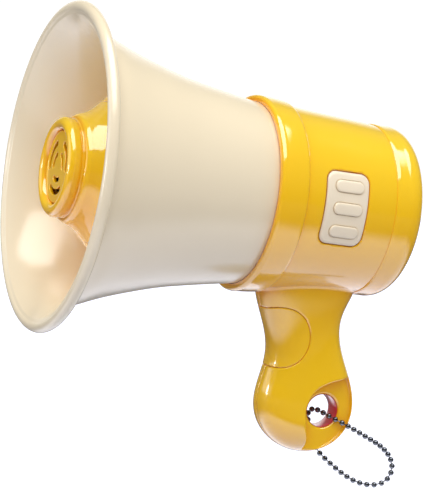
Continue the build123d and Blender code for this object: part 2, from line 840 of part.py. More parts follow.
near_1, far_1 = FIRST_FOLD
near_2, far_2 = SECOND_FOLD
inner_beads = [i % BEAD_COUNT for i in range(far_1, BEAD_COUNT + near_1 + 1)]
save(beads(inner_beads), "chain_beads_inner")
save(links(inner_beads[:-1]), "chain_links_inner")
save(beads([*range(near_1 + 1, near_2 + 1), *range(far_2, far_1)]), "chain_beads_middle")
save(links([*range(near_1, near_2), *range(far_2, far_1)]), "chain_links_middle")
save(beads(range(near_2 + 1, far_2)), "chain_beads_end")
save(links(range(near_2, far_2)), "chain_links_end")
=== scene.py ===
"""Looks of a handheld megaphone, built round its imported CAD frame.

Shapes are worked out in millimetres in the frame's axes (horn along Y, mouth towards -Y, +Z up) and
become metres when a mesh is made. Turned pieces come from outlines; moulded pieces come from smooth
distance fields, which round every edge the way a mould does.
"""

import json
import math

import bpy
import numpy as np
from mathutils import Matrix, Vector


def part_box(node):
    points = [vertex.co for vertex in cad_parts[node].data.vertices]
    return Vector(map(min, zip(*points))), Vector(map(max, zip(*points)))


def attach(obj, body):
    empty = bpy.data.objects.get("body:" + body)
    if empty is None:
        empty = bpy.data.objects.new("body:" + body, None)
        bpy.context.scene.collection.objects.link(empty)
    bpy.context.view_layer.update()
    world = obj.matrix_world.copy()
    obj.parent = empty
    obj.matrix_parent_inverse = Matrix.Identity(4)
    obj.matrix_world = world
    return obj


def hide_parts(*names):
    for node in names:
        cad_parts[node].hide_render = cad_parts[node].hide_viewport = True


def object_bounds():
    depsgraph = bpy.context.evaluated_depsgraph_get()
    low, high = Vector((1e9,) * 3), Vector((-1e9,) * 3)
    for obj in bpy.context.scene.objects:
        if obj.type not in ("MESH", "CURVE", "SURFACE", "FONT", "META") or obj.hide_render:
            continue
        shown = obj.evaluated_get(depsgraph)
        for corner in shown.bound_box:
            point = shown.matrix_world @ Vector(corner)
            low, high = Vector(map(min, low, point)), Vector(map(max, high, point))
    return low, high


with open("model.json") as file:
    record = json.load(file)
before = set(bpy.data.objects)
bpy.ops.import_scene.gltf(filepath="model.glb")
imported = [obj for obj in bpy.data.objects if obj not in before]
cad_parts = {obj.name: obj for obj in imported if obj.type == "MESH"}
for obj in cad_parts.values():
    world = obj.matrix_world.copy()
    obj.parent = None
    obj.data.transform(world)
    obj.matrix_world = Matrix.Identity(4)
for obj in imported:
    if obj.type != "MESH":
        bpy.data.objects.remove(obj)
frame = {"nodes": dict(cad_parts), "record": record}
cad_low, cad_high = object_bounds()

MM = 0.001
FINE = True

# ---------------------------------------------------------------- shared dimensions, in millimetres
LIP_RING_RADIUS = 64.2
LIP_TUBE_RADIUS = 2.4
COLLAR_FRONT_Y = 82.7
BARREL_FRONT_Y = 95.75
BARREL_REAR_Y = 136.8
BARREL_TUCK = 0.6
BARREL_OUTLINE = ((38.7, BARREL_FRONT_Y), (37.6, 110.0), (36.8, 124.0), (35.9, BARREL_REAR_Y))
BARREL_FIT = np.polyfit([y for r, y in BARREL_OUTLINE], [r for r, y in BARREL_OUTLINE], 3)
CAP_RADIUS = 36.3
CAP_FACE_Y = 152.4
MIC_OPENING = 13.0

# the grip's edges as (height, place) of their turning points, and the lowest point of its round foot
GRIP_FRONT = ((-28.0, 96.5), (-33.0, 96.5), (-66.0, 106.0), (-84.0, 104.0))
GRIP_REAR = ((-28.0, 140.5), (-49.0, 135.5), (-85.0, 147.0))
GRIP_HALF_WIDTH = ((-28.0, 15.5), (-57.0, 12.0), (-90.0, 14.0))
GRIP_LOWEST_Y, GRIP_LOWEST_Z = 126.0, -105.0
GRIP_TOP = -24.0
GRIP_SQUARENESS = 2.5
GRIP_WALL = 2.2
LEDGE = 1.4

TRIGGER_Y, TRIGGER_Z, TRIGGER_RADIUS = 106.0, -57.4, 12.6
TRIGGER_WALL = 1.5
PIN_RADIUS, PIN_HALF = 0.8, 4.2
SEAM = 0.3
EYE_Y, EYE_Z, EYE_RADIUS = 132.8, -86.6, 6.94
WEB_HALF = 5.06
POCKET_RIM = 1.7
POCKET_EDGE = (
    (160.0, -66.7),
    (152.0, -68.6),
    (140.0, -71.4),
    (130.4, -73.9),
    (124.4, -77.8),
    (121.2, -85.0),
    (122.2, -92.4),
    (124.4, -98.4),
    (126.0, -108.0),
    (126.6, -116.0),
)
CASE_SCREWS = ((103.3, 31.0), (128.4, 30.6), (124.8, -49.5), (112.8, -90.5))

PANEL_Y, PANEL_LENGTH, PANEL_HEIGHT, PANEL_CORNER = 113.75, 19.5, 29.6, 4.0
KEY_Y, KEY_LENGTH, KEY_HEIGHT = 114.25, 13.0, 4.8
KEYS = {"key_top": ("upper_key", 9.1), "key_middle": ("centre_key", 0.0), "key_bottom": ("lower_key", -9.3)}
DOOR_Y, DOOR_LENGTH, DOOR_HEIGHT = 116.5, 31.0, 50.0
GRILLE_BOX = ((-15.0, 2.8, -15.0), (15.0, 4.4, 15.0))


# ---------------------------------------------------------------- curves and meshes
def smooth_curve(points, steps=10):
    """Points along a smooth curve through the given points (centripetal tangents)."""
    p = np.array(points, float)
    ghost = np.vstack([2 * p[0] - p[1], p, 2 * p[-1] - p[-2]])
    out = []
    for a, b, c, d in zip(ghost[:-3], ghost[1:-2], ghost[2:-1], ghost[3:]):
        span = [max(np.linalg.norm(v - u), 1e-9) ** 0.5 for u, v in ((a, b), (b, c), (c, d))]
        leave = (c - b) + span[1] * ((b - a) / span[0] - (c - a) / (span[0] + span[1]))
        arrive = (c - b) + span[1] * ((d - c) / span[2] - (d - b) / (span[1] + span[2]))
        for i in range(steps):
            t = i / steps
            out.append(
                (2 * t**3 - 3 * t**2 + 1) * b
                + (t**3 - 2 * t**2 + t) * leave
                + (3 * t**2 - 2 * t**3) * c
                + (t**3 - t**2) * arrive
            )
    out.append(p[-1])
    return [tuple(q) for q in out]


def arc(centre, radius, start, end, steps=12):
    """Points on an arc in an outline's plane, from the start angle to the end angle in degrees."""
    angles = np.radians(np.linspace(start, end, steps + 1))
    return [(centre[0] + radius * math.cos(a), centre[1] + radius * math.sin(a)) for a in angles]


def new_object(name, vertices, faces, smooth_angle=40):
    """A shaded mesh object from vertices in millimetres."""
    mesh = bpy.data.meshes.new(name)
    mesh.from_pydata([tuple(v) for v in np.asarray(vertices, float) * MM], [], faces)
    mesh.update()
    piece = bpy.data.objects.new(name, mesh)
    bpy.context.scene.collection.objects.link(piece)
    mesh.shade_smooth()
    mesh.set_sharp_from_angle(angle=math.radians(smooth_angle))
    return piece


def lathe(outline, segments=160):
    """Vertices and faces of a closed outline of (radius, y) points turned about Y; radius 0 makes a pole."""
    vertices, faces, rows = [], [], []
    for radius, y in outline:
        if radius < 1e-6:
            rows.append([len(vertices)] * segments)
            vertices.append((0, y, 0))
            continue
        rows.append(list(range(len(vertices), len(vertices) + segments)))
        for i in range(segments):
            angle = 2 * math.pi * i / segments
            vertices.append((radius * math.cos(angle), y, radius * math.sin(angle)))
    for row, after in zip(rows, rows[1:] + rows[:1]):
        for i in range(segments):
            j = (i + 1) % segments
            corners = list(dict.fromkeys((row[i], row[j], after[j], after[i])))
            if len(corners) > 2:
                faces.append(corners)
    return vertices, faces


def turned(name, outline, segments=160, smooth_angle=40):
    """A piece of revolution about the horn's axis."""
    vertices, faces = lathe(outline, segments)
    piece = new_object(name, vertices, faces, smooth_angle)
    face_outwards(piece)
    return piece


def turned_across(name, outline, segments, centre_y, centre_z):
    """A piece of revolution about an axis along X."""
    vertices, faces = lathe(outline, segments)
    piece = new_object(name, [(y, centre_y + x, centre_z + z) for x, y, z in vertices], faces)
    face_outwards(piece)
    return piece


def face_outwards(piece):
    """Turn the faces of a closed mesh so that their normals point out."""
    mesh = piece.data
    mesh.calc_loop_triangles()
    co = np.array([v.co for v in mesh.vertices])
    triangles = np.array([t.vertices for t in mesh.loop_triangles])
    a, b, c = co[triangles[:, 0]], co[triangles[:, 1]], co[triangles[:, 2]]
    if np.einsum("ij,ij->i", a, np.cross(b, c)).sum() < 0:
        mesh.flip_normals()


# ---------------------------------------------------------------- distance fields
def soft_max(a, b, radius):
    """The larger of two fields, with the edge where they meet rounded."""
    gap = np.maximum(radius - np.abs(a - b), 0) / radius
    return np.maximum(a, b) + gap * gap * radius / 4


def soft_min(a, b, radius):
    """The smaller of two fields, with the corner where they meet filled."""
    return -soft_max(-a, -b, radius)


def field_mesh(name, field, low, high, step, smooth_angle=180):
    """The zero surface of a distance field as a quad mesh, each vertex moved onto the surface."""
    axes = [np.arange(lo - 2 * step, hi + 2.5 * step, step) for lo, hi in zip(low, high)]
    values = field(*np.meshgrid(*axes, indexing="ij"))
    inside = values < 0
    cells = tuple(n - 1 for n in inside.shape)
    total = np.zeros(cells, np.int8)
    crossings = np.zeros(cells, np.int16)
    places = np.zeros(cells + (3,), np.float32)

    def window(array, shift):
        return array[tuple(slice(s, s + n) for s, n in zip(shift, cells))]

    corners = [(i, j, k) for i in (0, 1) for j in (0, 1) for k in (0, 1)]
    for corner in corners:
        total += window(inside, corner)
    active = (total > 0) & (total < 8)
    for corner in corners:
        for axis in range(3):
            if corner[axis]:
                continue
            other = tuple(c + (axis == n) for n, c in enumerate(corner))
            here, there = window(values, corner), window(values, other)
            cut = active & ((here < 0) != (there < 0))
            crossings += cut
            share = here[cut] / (here[cut] - there[cut])
            for n in range(3):
                places[..., n][cut] += corner[n] + (share if n == axis else 0)
    index = np.full(cells, -1, np.int64)
    index[active] = np.arange(active.sum())
    base = np.argwhere(active).astype(float)
    origin = np.array([a[0] for a in axes])
    points = origin + step * (base + places[active] / crossings[active][:, None])
    points = settle(points, field, step)

    faces = []
    for axis in range(3):
        after = tuple(int(n == axis) for n in range(3))
        here = inside[tuple(slice(0, size - a) for size, a in zip(inside.shape, after))]
        there = inside[tuple(slice(a, size) for size, a in zip(inside.shape, after))]
        second, third = (axis + 1) % 3, (axis + 2) % 3
        for leaving in (True, False):
            edges = np.argwhere((here & ~there) if leaving else (~here & there))
            ring = []
            for u, v in ((-1, -1), (0, -1), (0, 0), (-1, 0)):
                cell = edges.copy()
                cell[:, second] += u
                cell[:, third] += v
                ring.append(index[cell[:, 0], cell[:, 1], cell[:, 2]])
            quads = np.stack(ring if leaving else ring[::-1], axis=1)
            faces.append(quads)
    return new_object(name, points, np.concatenate(faces).tolist(), smooth_angle)


def settle(points, field, step, rounds=3):
    """Move points along the field's slope onto its zero surface, by at most half a step each round."""
    small = 0.02
    for _ in range(rounds):
        value = field(*points.T)
        slope = np.stack(
            [
                field(*(points + small * unit).T) - field(*(points - small * unit).T)
                for unit in np.eye(3)
            ],
            axis=1,
        ) / (2 * small)
        length = np.maximum((slope**2).sum(1), 0.1)
        move = -(value / length)[:, None] * slope
        size = np.linalg.norm(move, axis=1, keepdims=True)
        points = points + move * np.minimum(1, 0.5 * step / np.maximum(size, 1e-9))
    return points


def rounded_rectangle(u, v, length, height, corner):
    """Distance in the plane to a rectangle with round corners, centred at zero."""
    a = np.abs(u) - length / 2 + corner
    b = np.abs(v) - height / 2 + corner
    return np.hypot(np.maximum(a, 0), np.maximum(b, 0)) + np.minimum(np.maximum(a, b), 0) - corner


def barrel_field(x, y, z):
    """Height above the barrel's surface."""
    return np.hypot(x, z) - np.polyval(BARREL_FIT, np.clip(y, BARREL_FRONT_Y, BARREL_REAR_Y))


def grip_edge(turns, foot, z):
    """An edge that eases from one turning point to the next, then rounds off to the foot's value."""
    value = np.full(z.shape, turns[0][1])
    for (z0, v0), (z1, v1) in zip(turns[:-1], turns[1:]):
        share = np.clip((z0 - z) / (z0 - z1), 0, 1)
        value += (v1 - v0) * (1 - np.cos(np.pi * share)) / 2
    last_z, last = turns[-1]
    drop = np.clip((last_z - z) / (last_z - GRIP_LOWEST_Z), 0, 1)
    return value + (foot - last) * (1 - np.sqrt(1 - drop**2))


def level_table():
    """Height, centre, and the squares of the half depth and half width, down the grip."""
    z = np.linspace(GRIP_FRONT[0][0], GRIP_LOWEST_Z, 800)
    front = grip_edge(GRIP_FRONT, GRIP_LOWEST_Y, z)
    rear = grip_edge(GRIP_REAR, GRIP_LOWEST_Y, z)
    width = grip_edge(GRIP_HALF_WIDTH, 0, z)
    return np.stack([z, (front + rear) / 2, ((rear - front) / 2) ** 2, width**2], axis=1)


LEVEL_TABLE = level_table()


def level_values(z):
    """The grip's centre and the squares of its half depth and half width, at each height."""
    heights = LEVEL_TABLE[:, 0]
    return [np.interp(-z, -heights, LEVEL_TABLE[:, n]) for n in (1, 2, 3)]


def grip_value(x, y, z):
    """Below 1 inside the grip and above 1 outside it."""
    centre, depth2, width2 = level_values(z)
    below = np.maximum(GRIP_LOWEST_Z + 0.3 - z, 0)
    depth = np.sqrt(np.maximum(depth2, 0.05))
    width = np.sqrt(np.maximum(width2, 0.05))
    n = GRIP_SQUARENESS
    oval = (np.abs(x / width) ** n + np.abs((y - centre) / depth) ** n + 1e-9) ** (1 / n)
    return oval + below


def grip_field(x, y, z):
    """About the distance to the grip's surface."""
    small = 0.05
    value = grip_value(x, y, z)
    slope = np.sqrt(
        (grip_value(x + small, y, z) - value) ** 2
        + (grip_value(x, y + small, z) - value) ** 2
        + (grip_value(x, y, z + small) - value) ** 2
    )
    return (value - 1) * small / np.maximum(slope, small / 60)


POCKET_STEP = 0.25
POCKET_LOW = np.array([96.0, -112.0])
POCKET_SIZE = (240, 200)


def pocket_table():
    """Distance to the pocket's edge on a grid of y and z, below zero on the pocket's side."""
    line = np.array(smooth_curve(POCKET_EDGE, steps=12))
    ys, zs = (POCKET_LOW[n] + POCKET_STEP * np.arange(POCKET_SIZE[n]) for n in (0, 1))
    y, z = np.meshgrid(ys, zs, indexing="ij")
    best = np.full(y.shape, 1e9)
    sign = np.ones(y.shape)
    for (y0, z0), (y1, z1) in zip(line[:-1], line[1:]):
        dy, dz = y1 - y0, z1 - z0
        t = np.clip(((y - y0) * dy + (z - z0) * dz) / (dy * dy + dz * dz), 0, 1)
        away = np.hypot(y - y0 - t * dy, z - z0 - t * dz)
        side = (y - y0) * dz - (z - z0) * dy
        nearer = away < best - 1e-9
        best = np.where(nearer, away, best)
        sign = np.where(nearer, np.sign(side), sign)
    return best * sign


POCKET_TABLE = pocket_table()


def pocket_field(y, z):
    """Distance to the pocket's edge, below zero inside the pocket, read from its table."""
    u = np.clip((y - POCKET_LOW[0]) / POCKET_STEP, 0, POCKET_SIZE[0] - 1.001)
    v = np.clip((z - POCKET_LOW[1]) / POCKET_STEP, 0, POCKET_SIZE[1] - 1.001)
    i, j = u.astype(int), v.astype(int)
    s, t = u - i, v - j
    table = POCKET_TABLE
    low = table[i, j] * (1 - s) + table[i + 1, j] * s
    high = table[i, j + 1] * (1 - s) + table[i + 1, j + 1] * s
    return low * (1 - t) + high * t


def housing_outside(x, y, z):
    """The barrel and the grip as one solid, with the lanyard pocket, the eye and the screw wells."""
    radial = np.hypot(x, z)
    middle, half = (BARREL_REAR_Y + BARREL_FRONT_Y) / 2, (BARREL_REAR_Y - BARREL_FRONT_Y) / 2
    barrel = np.maximum(barrel_field(x, y, z), np.abs(y - middle) - half - BARREL_TUCK)
    grip = np.maximum(grip_field(x, y, z), z - GRIP_TOP)
    behind = np.maximum(BARREL_REAR_Y - y, radial - CAP_RADIUS - SEAM)
    ahead = np.maximum(y - BARREL_FRONT_Y - SEAM / 2, radial - 41.2)
    grip = soft_max(soft_max(grip, -behind, 0.5), -ahead, 0.5)
    solid = soft_min(barrel, grip, 0.9)
    pocket = soft_max(pocket_field(y, z), WEB_HALF - np.abs(x), 1.2)
    pocket = soft_max(pocket, grip_field(0 * x, y, z) + POCKET_RIM, 0.8)
    solid = soft_max(solid, -pocket, 0.7)
    solid = soft_max(solid, EYE_RADIUS + 0.2 - np.hypot(y - EYE_Y, z - EYE_Z), 1.2)
    for well_y, well_z in CASE_SCREWS:
        well = np.maximum(np.hypot(y - well_y, z - well_z) - 2.5, x + 9.0)
        solid = soft_max(solid, -well, 0.5)
    return solid


def housing_field(side):
    """One moulded half of the housing: side 1 is the +X half and side -1 the -X half."""

    def field(x, y, z):
        outside = housing_outside(x, y, z)
        wall = np.maximum(outside, -(outside + GRIP_WALL))
        trigger = TRIGGER_RADIUS + SEAM - np.hypot(y - TRIGGER_Y, z - TRIGGER_Z)
        wall = soft_max(wall, trigger, 0.25)
        surface = barrel_field(x, y, z)
        if side > 0:
            outline = rounded_rectangle(
                y - PANEL_Y, z, PANEL_LENGTH + 1.4 * SEAM, PANEL_HEIGHT + 1.4 * SEAM, PANEL_CORNER + SEAM
            )
        else:
            outline = rounded_rectangle(
                y - DOOR_Y, z, DOOR_LENGTH + 2 * SEAM, DOOR_HEIGHT + 2 * SEAM, PANEL_CORNER + SEAM
            )
        recess = np.maximum(outline, -(surface + 1.4))
        opening = np.maximum(np.minimum(recess, outline + LEDGE), 5.0 - side * x)
        wall = soft_max(wall, -opening, 0.4)
        return soft_max(wall, 0.03 - side * x, 0.15)

    return field


def trigger_field(x, y, z):
    """The rocker: the part of the grip inside the trigger's circle, as a hollow shell."""
    circle = np.hypot(y - TRIGGER_Y, z - TRIGGER_Z) - TRIGGER_RADIUS - SEAM / 2
    outside = soft_max(grip_field(x, y, z), circle, 0.25)
    return np.maximum(outside, -(outside + TRIGGER_WALL))


def key_plate_field(x, y, z):
    """The key panel, which follows the barrel, with a window for each key."""
    surface = barrel_field(x, y, z)
    outline = rounded_rectangle(y - PANEL_Y, z, PANEL_LENGTH, PANEL_HEIGHT, PANEL_CORNER)
    plate = soft_max(np.maximum(surface - 0.5, -(surface + 1.1)), outline, 1.4)
    for _, key_z in KEYS.values():
        window = rounded_rectangle(y - KEY_Y, z - key_z, KEY_LENGTH + SEAM, KEY_HEIGHT + SEAM, 2.5)
        plate = soft_max(plate, -window, 0.25)
    return np.maximum(plate, 5.0 - x)


def key_field(key_z):
    """A pill-shaped key, crowned along its length."""

    def field(x, y, z):
        outline = rounded_rectangle(y - KEY_Y, z - key_z, KEY_LENGTH + SEAM / 2, KEY_HEIGHT + SEAM / 2, 2.45)
        top = barrel_field(x, y, z) - 1.4 + 0.02 * (z - key_z) ** 2
        return np.maximum(soft_max(top, outline, 0.9), 33.5 - x)

    return field


def door_field(x, y, z):
    """The battery door, with ribs to push on."""
    surface = barrel_field(x, y, z)
    outline = rounded_rectangle(y - DOOR_Y, z, DOOR_LENGTH, DOOR_HEIGHT, PANEL_CORNER)
    ribs = 0.35 * np.clip(np.cos((y - DOOR_Y) * 2 * math.pi / 2.4), -1, 1)
    on_ribs = np.clip((9.0 - np.abs(z)) / 1.0, 0, 1) * np.clip((6.6 - np.abs(y - DOOR_Y - 4.0)) / 0.8, 0, 1)
    skin = surface - 0.15 + (0.35 - ribs) * on_ribs
    door = soft_max(np.maximum(skin, -(surface + 1.3)), outline, 0.8)
    return np.maximum(door, 5.0 + x)


# ---------------------------------------------------------------- materials
def principled(name, colour, roughness, metallic=0.0, coat=0.0, coat_roughness=0.05):
    """A material with one Principled shader; returns the material, its nodes and the shader."""
    material = bpy.data.materials.new(name)
    material.use_nodes = True
    nodes = material.node_tree.nodes
    shader = nodes["Principled BSDF"]
    shader.inputs["Base Color"].default_value = (*colour, 1)
    shader.inputs["Roughness"].default_value = roughness
    shader.inputs["Metallic"].default_value = metallic
    shader.inputs["Coat Weight"].default_value = coat
    shader.inputs["Coat Roughness"].default_value = coat_roughness
    shader.inputs["Coat IOR"].default_value = 1.6
    return material, nodes, shader


def worked_out(nodes, operation, *values):
    """The output of a maths node, fed with numbers or other outputs."""
    node = nodes.new("ShaderNodeMath")
    node.operation = operation
    for socket, value in zip(node.inputs, values):
        if isinstance(value, (int, float)):
            socket.default_value = value
        else:
            nodes.id_data.links.new(value, socket)
    return node.outputs["Value"]


def noise(nodes, scale, detail=3, roughness=0.5):
    """A noise texture in the object's own coordinates, with scale in cycles per metre."""
    links = nodes.id_data.links
    place = nodes.new("ShaderNodeTexCoord")
    texture = nodes.new("ShaderNodeTexNoise")
    texture.inputs["Scale"].default_value = scale
    texture.inputs["Detail"].default_value = detail
    texture.inputs["Roughness"].default_value = roughness
    links.new(place.outputs["Object"], texture.inputs["Vector"])
    return texture.outputs["Fac"]


def ramped(nodes, value, low, high):
    """Map a 0..1 value to the range low..high."""
    ramp = nodes.new("ShaderNodeMapRange")
    ramp.inputs["From Min"].default_value = 0.3
    ramp.inputs["From Max"].default_value = 0.7
    ramp.inputs["To Min"].default_value = low
    ramp.inputs["To Max"].default_value = high
    nodes.id_data.links.new(value, ramp.inputs["Value"])
    return ramp.outputs["Result"]


def moulded_plastic(
    name, colour, shaded_colour, roughness=0.2, grain=0.01, coat=0.8, coat_roughness=0.05, hollow_shade_tint=(0.9, 0.86, 0.8)
):
    """Glossy moulded plastic with painted shade: the colour leans to a shaded tone on surfaces that face down and
    darkens further in hollows; with colour drift, orange peel and haze.
    """
    material, nodes, shader = principled(name, colour, roughness, coat=coat, coat_roughness=coat_roughness)
    links = material.node_tree.links
    # Painted shade: mix from the plastic's colour towards its shaded tone by how far the surface faces down, plus
    # random colour drift.
    mix = nodes.new("ShaderNodeMix")
    mix.data_type = "RGBA"
    mix.inputs["A"].default_value = (*colour, 1)
    mix.inputs["B"].default_value = (*shaded_colour, 1)
    drift = ramped(nodes, noise(nodes, 14, 1), 0.35, 0.5)
    facing = nodes.new("ShaderNodeSeparateXYZ")
    place = nodes.new("ShaderNodeTexCoord")
    links.new(place.outputs["Normal"], facing.inputs["Vector"])
    blend = worked_out(nodes, "MULTIPLY_ADD", facing.outputs["Z"], -0.55, drift)
    blend.node.use_clamp = True
    links.new(blend, mix.inputs["Factor"])
    # Painted shade in hollows: ambient occlusion darkens the colour further, towards a tinted copy of the shaded tone.
    nearness = nodes.new("ShaderNodeAmbientOcclusion")
    nearness.samples = 8
    nearness.inputs["Distance"].default_value = HOLLOW_SHADE_REACH * MM
    hollow = nodes.new("ShaderNodeMix")
    hollow.data_type = "RGBA"
    hollow.inputs["B"].default_value = (*(c * tint for c, tint in zip(shaded_colour, hollow_shade_tint)), 1)
    shade = worked_out(nodes, "MULTIPLY_ADD", nearness.outputs["AO"], -1.1, 1.1)
    shade.node.use_clamp = True
    links.new(shade, hollow.inputs["Factor"])
    links.new(mix.outputs["Result"], hollow.inputs["A"])
    links.new(hollow.outputs["Result"], shader.inputs["Base Color"])
    links.new(
        ramped(nodes, noise(nodes, 120, 4, 0.6), roughness - 0.02, roughness + 0.03), shader.inputs["Roughness"]
    )
    bump = nodes.new("ShaderNodeBump")
    bump.inputs["Strength"].default_value = 0.03
    bump.inputs["Distance"].default_value = grain * MM
    links.new(noise(nodes, 260, 1), bump.inputs["Height"])
    links.new(bump.outputs["Normal"], shader.inputs["Normal"])
    return material


def metal(name, colour, roughness, scale=900):
    """Plated or plain metal with fine handling marks."""
    material, nodes, shader = principled(name, colour, roughness, metallic=1.0)
    links = material.node_tree.links
    links.new(ramped(nodes, noise(nodes, scale, 4), roughness * 0.6, roughness * 1.7), shader.inputs["Roughness"])
    bump = nodes.new("ShaderNodeBump")
    bump.inputs["Strength"].default_value = 0.2
    bump.inputs["Distance"].default_value = 0.01 * MM
    links.new(noise(nodes, scale * 2, 2), bump.inputs["Height"])
    links.new(bump.outputs["Normal"], shader.inputs["Normal"])
    return material


def dull(name, colour, roughness=0.6, grain=0.04, scale=700):
    """Unglossy stuff such as rubber, card or grained plastic."""
    material, nodes, shader = principled(name, colour, roughness)
    links = material.node_tree.links
    darker = tuple(c * 0.8 for c in colour)
    mix = nodes.new("ShaderNodeMix")
    mix.data_type = "RGBA"
    mix.inputs["A"].default_value = (*colour, 1)
    mix.inputs["B"].default_value = (*darker, 1)
    grain_value = noise(nodes, scale, 4)
    links.new(grain_value, mix.inputs["Factor"])
    links.new(mix.outputs["Result"], shader.inputs["Base Color"])
    bump = nodes.new("ShaderNodeBump")
    bump.inputs["Strength"].default_value = 0.5
    bump.inputs["Distance"].default_value = grain * MM
    links.new(grain_value, bump.inputs["Height"])
    links.new(bump.outputs["Normal"], shader.inputs["Normal"])
    return material


# how far the painted shade in hollows looks for nearby surfaces, in millimetres
HOLLOW_SHADE_REACH = 7.0

# Each plastic's second colour is its painted shade tone, laid on surfaces that face down and in hollows.
MATERIALS = {
    "yellow_plastic": moulded_plastic(
        "yellow_plastic", (0.98, 0.65, 0.006), (0.98, 0.45, 0.006), roughness=0.12, hollow_shade_tint=(0.92, 0.62, 0.4)
    ),
    "cream_plastic": moulded_plastic(
        "cream_plastic", (0.885, 0.77, 0.55), (0.86, 0.755, 0.56), roughness=0.24, coat=0.4, coat_roughness=0.14
    ),
    "key_plastic": moulded_plastic(
        "key_plastic", (0.90, 0.79, 0.61), (0.89, 0.77, 0.58), roughness=0.4, grain=0.03, coat=0.1
    ),
    # The coral red is painted shade for the lining of the lanyard hole.
    "coral_plastic": moulded_plastic("coral_plastic", (0.80, 0.07, 0.09), (0.74, 0.05, 0.07)),
    "chain_steel": metal("chain_steel", (0.13, 0.14, 0.16), 0.08),
    "screw_steel": metal("screw_steel", (0.55, 0.55, 0.57), 0.3),
    "pole_steel": metal("pole_steel", (0.5, 0.5, 0.52), 0.35),
    "spring_steel": metal("spring_steel", (0.6, 0.6, 0.62), 0.2),
    "cell_metal": metal("cell_metal", (0.16, 0.20, 0.18), 0.35),
    "magnet_ferrite": dull("magnet_ferrite", (0.03, 0.03, 0.033)),
    "paper_cone": dull("paper_cone", (0.05, 0.028, 0.014), 0.8),
    "seal_rubber": dull("seal_rubber", (0.015, 0.015, 0.015), 0.7),
    "board_laminate": dull("board_laminate", (0.01, 0.09, 0.03), 0.35),
    "black_plastic": dull("black_plastic", (0.02, 0.02, 0.022), 0.45),
    "wire_insulation": dull("wire_insulation", (0.3, 0.01, 0.01), 0.4),
}


def finish_piece(piece, slot_name, body="megaphone", replaced=()):
    """Give a new piece its material and its body, and hide the CAD nodes that it stands for."""
    piece.data.materials.append(MATERIALS[slot_name])
    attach(piece, body)
    if replaced:
        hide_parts(*replaced)
    return piece


# ---------------------------------------------------------------- turned pieces
def horn():
    """The horn: a flared skin with a fat rolled lip."""
    ring, tube = LIP_RING_RADIUS, LIP_TUBE_RADIUS
    outside = smooth_curve(
        [(58.7, 4.95), (56.3, 9.0), (54.2, 15), (50.4, 25), (46.7, 37), (43.3, 50), (40.55, 65), (37.95, 82.7), (37.2, 92)], 9
    )
    inside = smooth_curve(
        [(35.0, 91.0), (36.2, 80), (38.35, 65), (41.1, 50), (44.5, 36.4), (47.9, 25), (51.9, 14), (54.9, 8.4), (58.0, 4.4), (61.4, 1.0)],
        9,
    )
    lip = arc((ring, tube), tube, -140, 92, 36)
    outline = outside[::-1] + smooth_curve([(58.7, 4.95), (60.6, 4.9), (62.6, 4.86)], 3)[1:]
    return finish_piece(
        turned("horn", outline + lip[::-1] + inside[::-1], 224, 60), "cream_plastic", replaced=["horn_bell"]
    )


def collar():
    """The front collar, a broad band with a crowned outside and a step at its rear."""
    crown = smooth_curve(
        [(38.5, 82.72), (39.7, 82.8), (40.5, 83.3), (40.85, 84.2), (40.8, 85.6), (40.65, 88.5), (40.4, 91.5), (40.1, 94.3)], 8
    )
    step = smooth_curve([(40.1, 94.3), (39.8, 95.1), (39.3, 95.55), (38.95, 95.65)], 5)[1:]
    outline = crown + step + [(35.7, 95.65), (35.7, 100), (34.0, 100), (34.0, 94.0), (37.4, 92.1), (38.06, 82.9)]
    return finish_piece(turned("front_band", outline, 224), "yellow_plastic", replaced=["front_collar"])


def rear_end():
    """The rounded rear end, with a soft front edge and a shallow ring round the microphone."""
    front = BARREL_REAR_Y + 0.05
    outline = (
        [(33.4, front)]
        + smooth_curve([(35.4, front), (36.05, front + 0.12), (36.3, front + 0.7)], 6)
        + smooth_curve(
            [(36.3, 138.6), (36.3, 142.0), (36.28, 144.6), (35.6, 147.1), (33.9, 149.4), (31.0, 151.2), (27.6, 152.1), (24.0, 152.4)],
            9,
        )
        + smooth_curve([(14.2, 152.4), (13.3, 152.25), (13.02, 151.8)], 5)
        + [(13.02, 151.0), (11.5, 151.0), (11.5, 149.8), (24.0, 149.8)]
        + smooth_curve([(29.6, 148.9), (33.0, 146.0), (33.9, 143.0), (33.9, 139.2)], 6)
        + [(31.2, 139.0), (31.2, 132.4), (33.4, 132.4)]
    )
    return finish_piece(turned("rear_end", outline, 224), "yellow_plastic", replaced=["rear_cap"])


def pod_cover():
    """The driver pod's front: a raised ring, a groove, a shoulder and a flared skirt."""
    outline = (
        arc((17.5, 3.7), 2.8, -180, 0, 30)
        + smooth_curve([(20.3, 3.7), (20.2, 5.4), (19.85, 6.5), (20.1, 7.0), (20.9, 7.3), (21.7, 7.9), (22.4, 9.0)], 7)[1:]
        + smooth_curve([(22.4, 9.0), (23.1, 10.8), (24.1, 12.9), (25.7, 15.3), (27.6, 17.4), (28.4, 18.2), (28.55, 18.9), (28.1, 19.5)], 7)[1:]
        + [(26.3, 19.5), (26.3, 18.4), (21.4, 14.0), (20.6, 11.6), (18.4, 9.0), (18.4, 7.1), (13.2, 7.1), (13.2, 5.7), (14.7, 5.7)]
    )
    return finish_piece(turned("pod_cover", outline, 160), "yellow_plastic", replaced=["driver_cover"])


def pod_base():
    """The flare behind the pod's cover, and the hollow stem back to the collar."""
    outline = (
        smooth_curve([(26.2, 19.6), (28.2, 19.7), (30.6, 20.8), (34.0, 24.2), (38.3, 31.5), (41.2, 37.4), (43.0, 41.0)], 8)
        + [(41.4, 41.6)]
        + smooth_curve([(40.3, 39.6), (36.0, 32.0)], 4)
        + [(13.0, 32.0), (13.0, 88.0), (34.6, 88.0), (34.6, 90.0), (11.0, 90.0), (11.0, 30.0), (34.9, 30.0), (32.4, 25.6)]
        + [(27.0, 21.4), (24.6, 21.4), (24.6, 18.6), (26.2, 18.6)]
    )
    return finish_piece(turned("pod_base", outline, 160), "yellow_plastic", replaced=["driver_base"])


